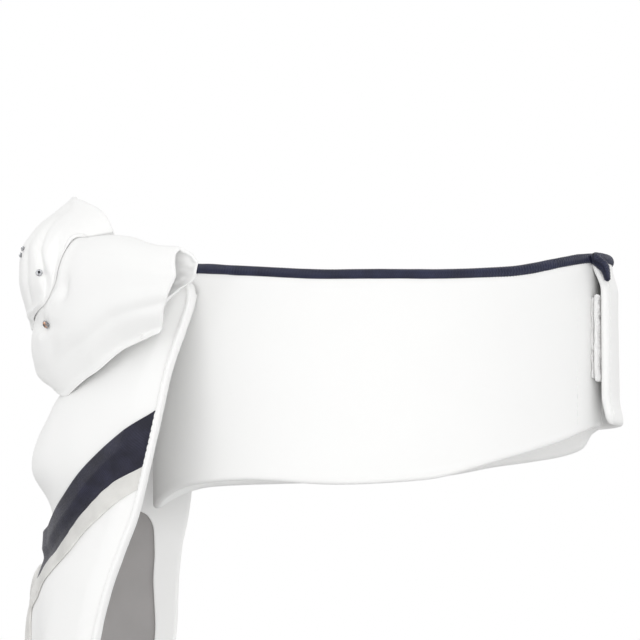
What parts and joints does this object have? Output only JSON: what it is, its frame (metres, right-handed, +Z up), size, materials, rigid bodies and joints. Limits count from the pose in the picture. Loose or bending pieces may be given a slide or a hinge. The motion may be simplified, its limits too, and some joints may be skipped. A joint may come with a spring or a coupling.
{
  "type": "ready-tied stock cravat",
  "caption": "Tall cloth collar band that closes at the back, with a gathered knot set with small crystals in front and a curved bib with a contrast V band below it.",
  "frame": {"origin": "the middle of the neck, on the axis of the collar band's oval, about 15 mm below its top edge at the back", "axes": "+Z up along the neck, -Y to the front of the wearer, +X to the wearer's left"},
  "size_m": [0.1084, 0.1841, 0.1929],
  "materials": {
    "white_satin": "soft satin weave",
    "navy_satin": "ribbed satin",
    "silver_trim": "satin ribbon",
    "closure_tape": "napped tape",
    "clear_crystal": "cut and polished",
    "copper_crystal": "cut and polished"
  },
  "bodies": {
    "root": {"collar_band": "white_satin", "bib_backing": "white_satin", "bib_upper_panel": "white_satin", "bib_wrap_left": "white_satin", "bib_wrap_right": "white_satin", "bib_edge_binding": "white_satin", "knot_lobe_left": "white_satin", "knot_lobe_right": "white_satin", "knot_puff": "white_satin", "collar_piping": "navy_satin", "navy_band_left": "navy_satin", "navy_band_right": "navy_satin", "silver_trim_left": "silver_trim", "silver_trim_right": "silver_trim", "loop_tape": "closure_tape", "hook_tape": "closure_tape", "crystal_a": "clear_crystal", "crystal_b": "clear_crystal", "crystal_c": "clear_crystal", "crystal_e": "clear_crystal", "crystal_f": "clear_crystal", "crystal_d": "copper_crystal"}
  },
  "joints": []
}
